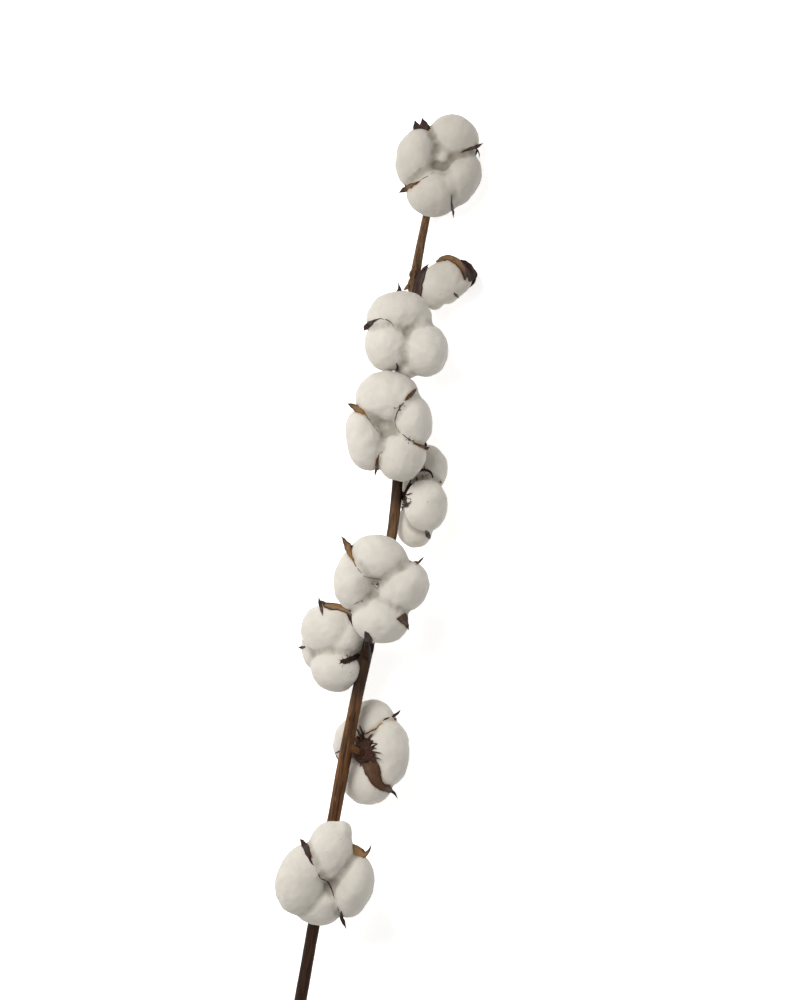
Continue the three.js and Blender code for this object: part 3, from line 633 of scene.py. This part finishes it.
def value_at(values, t):
    spans = len(values) - 1
    i = min(int(t * spans), spans - 1)
    f = t * spans - i
    f = f * f * (3 - 2 * f)
    return values[i] * (1 - f) + values[i + 1] * f


def strip(across, steps, materials, shape, gold, front=0):
    """A bent grid: shape gives its place in metres for -1 to 1 across and 0 to 1 along. front is
    the material of the side that the grid faces."""
    bpy.ops.mesh.primitive_grid_add(x_subdivisions=across, y_subdivisions=steps, size=2)
    made = active()
    tips, edges = [], []
    for vertex in made.data.vertices:
        side, along = vertex.co.x, (vertex.co.y + 1) / 2
        vertex.co = shape(side, along)
        tips.append(along ** 2.5)
        edges.append(side * side if gold >= 0 else 1.6)
    attribute_of(made, "tip", tips)
    attribute_of(made, "edge", edges)
    attribute_of(made, "gold", [max(0.0, gold)] * len(tips))
    made.data.uv_layers[0].name = "along"
    for material in materials:
        made.data.materials.append(material)
    for face in made.data.polygons:
        face.material_index = front
    settle(made)
    return made


def thicken(made, thick, **sides):
    """Gives a strip its thickness. sides says which materials its other side and rim have."""
    modify(made, "SOLIDIFY", thickness=thick, offset=0, **sides)
    modify(made, "SUBSURF", levels=1, render_levels=1)
    return made


def blade(place, materials, path, widths, cup, thick, steps=14, across=6, wave=0.0, gold=0.5):
    """A pointed plate on a path of r and w, in the plane of the place's own u and w."""
    points = [Vector((r, 0, w)) for r, w in path]

    def shape(side, along):
        point, ahead = through(points, along)
        ahead.normalize()
        half = value_at(widths, along)
        lift = cup * half * side * side + wave * math.sin(9 * along + 2 * side)
        return place @ (point + Vector((0, side * half, 0))
                        + Vector((-ahead.z, 0, ahead.x)) * lift)

    return thicken(strip(across, steps, materials, shape, gold), thick, material_offset=1,
                   material_offset_rim=0)


def tree_of(obj):
    return BVHTree.FromPolygons([vertex.co for vertex in obj.data.vertices],
                                [face.vertices for face in obj.data.polygons])


def draped(tree, materials, rows, tip_z, lie, gold, lift=0.4, thick=0.8):
    """A strip that lies on the lint from its inner end and stands free at its tip."""
    line = [(Vector((x, y, 0)) - MIDDLE) * MM for x, y, _ in rows]
    halves = [half * MM for _, _, half in rows]
    steps = 5 * (len(rows) - 1)

    def height(spot):
        if lie == LEVEL:
            return tip_z * MM
        hit = tree.ray_cast(Vector((spot.x, spot.y, OVERHEAD)), Vector((0, 0, -1)))[0]
        return max(hit.z if hit else 0.0, tip_z * MM)

    heights = [height(through(line, i / steps)[0]) for i in range(steps + 1)]
    for _ in range(2):
        heights = [sum(heights[max(0, i - 1):i + 2]) / len(heights[max(0, i - 1):i + 2])
                   for i in range(steps + 1)]

    def shape(side, along):
        middle, ahead = through(line, along)
        ahead.normalize()
        half = value_at(halves, along)
        sway = noise.noise(middle * 450) * (0.6 if lie == THREAD else 0.35) * MM
        spot = middle + Vector((ahead.y, -ahead.x, 0)) * (side * half + sway)
        i = min(int(along * steps), steps - 1)
        high = heights[i] + (along * steps - i) * (heights[i + 1] - heights[i])
        if lie in (LOCKS, BACK):
            high = max(high - 0.6 * MM, height(spot))
        rise = lift + 0.5 * noise.noise(middle * 300) + (0.12 * half / MM) * side * side
        if lie == THREAD:
            rise = 0.8 * noise.noise(middle * 600) - 0.2
        spot.z = high + rise * MM
        return spot

    if lie == BACK or not materials:
        return thicken(strip(4, steps, materials, shape, gold), thick * MM)
    return thicken(strip(4, steps, materials, shape, gold, front=1), thick * MM,
                   material_offset=-1, material_offset_rim=-1)


def fringe_of(boll, tree, material):
    """Short stiff fibres that stand out of the lint, the bracts and the valves' edges."""
    fibres = []
    for name, x, y, spread, count, length in FRINGES:
        if name != boll["name"]:
            continue
        for _ in range(count):
            spot = (Vector((x + random.gauss(0, 0.5) * spread, y + random.gauss(0, 0.5) * spread,
                            0)) - MIDDLE) * MM
            hit = tree.ray_cast(Vector((spot.x, spot.y, OVERHEAD)), Vector((0, 0, -1)))[0]
            if not hit:
                continue
            long = length * random.uniform(0.6, 1.2) * MM
            bpy.ops.mesh.primitive_cone_add(vertices=4, radius1=0.2 * MM, radius2=0.04 * MM,
                                            depth=long)
            fibre = active()
            aim = Vector((random.uniform(-1, 1), random.uniform(-1, 1),
                          random.uniform(0.1, 0.6))).normalized()
            turn = aim.to_track_quat("Z", "Y").to_matrix().to_4x4()
            fibre.matrix_world = Matrix.Translation(hit + aim * 0.35 * long) @ turn
            settle(fibre)
            fibres.append(fibre)
    if not fibres:
        return
    made = join(fibres, boll["name"] + "_fringe")
    made.data.materials.append(material)
    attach(made, "root")


def bur_of(boll, outside, inside, tree):
    place = boll_frame(boll)
    deep, size = boll["deep"], boll["size"]
    bpy.ops.mesh.primitive_uv_sphere_add(segments=24, ring_count=12, radius=1)
    dome = active()
    dome.matrix_world = (place @ Matrix.Translation((0, 0, 4.2 - deep))
                         @ Matrix.Diagonal((6 * size, 6 * size, 2.6, 1)))
    settle(dome)
    for name, value in (("tip", 0.0), ("edge", 0.5), ("gold", 0.3)):
        attribute_of(dome, name, [value] * len(dome.data.vertices))
    dome.data.uv_layers[0].name = "along"
    dome.data.materials.append(outside)
    dome.data.materials.append(inside)
    parts = [dome]
    for angle, reach, tip_w, belly, wide in boll["valves"]:
        end = belly + 0.3 * (reach - belly)
        path = [(2.6, 4.9 - deep), (0.4 * belly, 4.2 - deep), (0.8 * belly, 7.6 - deep),
                (0.98 * belly, tip_w - 7), (end, tip_w - 2.2), (end + 0.6, tip_w - 0.6)]
        widths = [wide * half for half in (2.4, 4.6, 5.4, 5.0, 3.0, 1.0)]
        own = place @ Matrix.Rotation(math.radians(angle), 4, "Z")
        parts.append(blade(own, (outside, inside), path, widths, 0.28, VALVE_THICK, wave=0.15))
    for gold, tip_z, lie, rows in TRIMS[boll["name"]]:
        parts.append(draped(tree, (outside, inside), rows, tip_z, lie, gold))
    bur = join(parts, boll["name"] + "_bur_visual")
    smooth(bur)
    wear(bur, None, "bur", boll["name"] + "_bur")
    return bur


def calyx_of(boll, material, tree):
    place = boll_frame(boll)
    deep, size = boll["deep"], boll["size"]
    bpy.ops.mesh.primitive_uv_sphere_add(segments=24, ring_count=14, radius=1)
    cup = active()
    cup.matrix_world = (place @ Matrix.Translation((0, 0, 2.4 - deep))
                        @ Matrix.Diagonal((7 * size, 7 * size, 2.6, 1)))
    settle(cup)
    cup.data.uv_layers[0].name = "along"
    parts = [cup]
    middles, length, rise = boll["bracts"]
    root = 4.5 * size
    for k, middle in enumerate(middles):
        for j, offset in enumerate((-30, -20, -10, 0, 10, 20, 30)):
            long = length * random.uniform(0.6, 1.15) + 1.2 * ((k + j) % 2)
            high = rise * random.uniform(0.6, 1.3)
            path = [(root, 2 - deep), (root + 0.4 * long, 1.4 + 0.25 * high - deep),
                    (root + 0.8 * long, 2.2 + 0.6 * high - deep), (root + long, 2.6 + high - deep)]
            own = place @ Matrix.Rotation(math.radians(middle + offset), 4, "Z")
            half = random.uniform(0.6, 1.1)
            parts.append(blade(own, (), path, [1.4, half, half, 0.6 * half, 0.12], 0.35,
                               BRACT_THICK, steps=8, across=3, wave=0.25))
    x, y, count, length, main = RUFFS.get(boll["name"], (0, 0, 0, 0, 0))
    for _ in range(count):
        turn = math.radians(main + random.uniform(-105, 105))
        long = length * random.uniform(0.5, 1.2)
        way = Vector((math.cos(turn), math.sin(turn)))
        side = Vector((-way.y, way.x)) * random.uniform(-0.35, 0.35) * long
        start = Vector((x + random.uniform(-1.5, 1.5), y + random.uniform(-4, 4)))
        wide = 0.08 * length
        rows = [(*(start + way * long * t + side * t * t), wide * half) for t, half in (
            (0, 1), (0.35, 0.9), (0.7, 0.6), (1, 0.12))]
        parts.append(draped(tree, (), rows, 0, LOCKS, 0, lift=random.uniform(0.5, 2.2),
                            thick=0.6))
    calyx = join(parts, boll["name"] + "_calyx_visual")
    smooth(calyx)
    wear(calyx, material, "calyx", boll["name"] + "_calyx")


# ---- the stem ----

def stem_at(y):
    for a, b in zip(STEM, STEM[1:]):
        if a[1] <= y <= b[1]:
            t = (y - a[1]) / (b[1] - a[1])
            return Vector([p + t * (q - p) for p, q in zip(a[:3], b[:3])])
    return Vector(STEM[-1][:3])


def rod(rows, name):
    """A round rod through rows of x, y, z and radius in millimetres, as a mesh."""
    bpy.ops.curve.primitive_nurbs_path_add()
    curve = active()
    curve.data.splines.clear()
    spline = curve.data.splines.new("NURBS")
    spline.points.add(len(rows) - 1)
    spline.use_endpoint_u = True
    spline.order_u = 3
    for knot, (x, y, z, radius) in zip(spline.points, rows):
        knot.co = (*((Vector((x, y, z)) - MIDDLE) * MM), 1)
        knot.radius = radius
    curve.data.bevel_depth = MM
    curve.data.bevel_resolution = 6
    curve.data.resolution_u = 6
    curve.data.use_fill_caps = True
    alone(curve)
    bpy.ops.object.convert(target="MESH")
    made = active()
    made.name = name
    settle(made)
    return made


def stem_of(material, bark):
    parts = [rod(STEM, "stem_rod")]
    for boll in BOLLS:
        if not boll["stalk"]:
            continue
        y, bend = boll["stalk"]
        place = boll_frame(boll)
        foot = stem_at(y)
        end = place @ Vector((0, 0, 0.6 - boll["deep"])) / MM + MIDDLE
        knee = place @ Vector((0, 0, -boll["deep"] - bend)) / MM + MIDDLE
        points = [foot.lerp(knee, 0.1), foot.lerp(knee, 0.5), foot.lerp(knee, 0.85).lerp(end, 0.15),
                  knee.lerp(end, 0.6), end]
        parts.append(rod([(*point, radius) for point, radius in zip(points, STALK_RADII)],
                         "stalk"))
    parts.append(rod(SPUR, "spur"))
    parts.append(rod(FLAP, "flap"))
    for y in KNOTS:
        middle = stem_at(y)
        bpy.ops.mesh.primitive_uv_sphere_add(segments=16, ring_count=12, radius=1)
        knot = active()
        knot.matrix_world = Matrix.Translation((middle + Vector((-0.9, 0, 1.6)) - MIDDLE) * MM) \
            @ Matrix.Diagonal((2.9 * MM, 3.4 * MM, 2.4 * MM, 1))
        settle(knot)
        parts.append(knot)
    stem = join(parts, "stem_visual")
    modify(stem, "REMESH", mode="VOXEL", voxel_size=STEM_VOXEL)
    modify(stem, "SMOOTH", factor=0.5, iterations=3)
    modify(stem, "DISPLACE", texture=bark, texture_coords="GLOBAL", strength=BARK_HEIGHT,
           mid_level=0.5)
    smooth(stem)
    wear(stem, material, "stem", "stem")


# ---- the part ----

lint_finish = lint_material()
stem_finish = bark_material("stem_bark", ((42, 25, 15), (118, 79, 46)),
                            ((50, 35, 24), (116, 87, 59)))
valve_outside = bur_material("valve_outside", ((48, 30, 20), (76, 48, 31)),
                             ((92, 64, 38), (130, 94, 58)), 0.5)
valve_inside = bur_material("valve_inside", ((50, 34, 26), (90, 64, 46)),
                            ((110, 80, 48), (160, 124, 80)), 0.45)
bract_finish = bract_material()
fringe_shader = Shader("fringe", 0.8, 0.15)
fringe_shader.colour(tint(40, 27, 21))
fringe_finish = fringe_shader.material

puffs = clouds("puffs", 12 * MM, 1)
tufts = clouds("tufts", 3 * MM, 2)
bark = clouds("bark", 5 * MM, 2)

stem_of(stem_finish, bark)
for boll in BOLLS:
    lint = lint_of(boll, lint_finish, puffs, tufts)
    tree = tree_of(lint)
    calyx_of(boll, bract_finish, tree)
    stain(lint, bur_of(boll, valve_outside, valve_inside, tree))
    fringe_of(boll, tree, fringe_finish)

# ---- table, light and camera ----

VIEW_MIDDLE = Vector((0.0116, 0.0617, 0.04))
VIEW_HEIGHT = 0.6
LENS = 240.0
SENSOR = 36.0

bpy.ops.mesh.primitive_plane_add(size=6, location=(VIEW_MIDDLE.x, VIEW_MIDDLE.y, 0))
table = active()
table.name = "table"
table_paint = Shader("table", 0.9, 0.1)
table_paint.colour((0.93, 0.93, 0.92, 1))
table_paint.end.inputs["Emission Color"].default_value = (1, 1, 1, 1)
table_paint.end.inputs["Emission Strength"].default_value = 0.58
table.data.materials.append(table_paint.material)

world = bpy.data.worlds.new("studio")
bpy.context.scene.world = world
world.use_nodes = True
world.node_tree.nodes["Background"].inputs["Color"].default_value = (1, 1, 1, 1)
world.node_tree.nodes["Background"].inputs["Strength"].default_value = 0.3


def lamp(name, place, size, power):
    light = bpy.data.lights.new(name, "AREA")
    light.shape = "DISK"
    light.size = size
    light.energy = power
    made = bpy.data.objects.new(name, light)
    bpy.context.collection.objects.link(made)
    made.location = place
    aim = VIEW_MIDDLE - Vector(place)
    made.rotation_euler = aim.to_track_quat("-Z", "Y").to_euler()


lamp("window", (-0.75, 0.65, 1.3), 1.1, 25)
lamp("fill", (0.9, -0.5, 1.3), 1.4, 4)

camera_data = bpy.data.cameras.new("camera")
camera_data.lens = LENS
camera_data.sensor_fit = "VERTICAL"
camera_data.sensor_height = SENSOR
camera_data.dof.use_dof = False
camera = bpy.data.objects.new("camera", camera_data)
bpy.context.collection.objects.link(camera)
camera.location = VIEW_MIDDLE + Vector((0, 0, VIEW_HEIGHT * LENS / SENSOR))
camera.rotation_euler = (0, 0, 0)
bpy.context.scene.camera = camera
bpy.context.scene.view_settings.view_transform = "Standard"
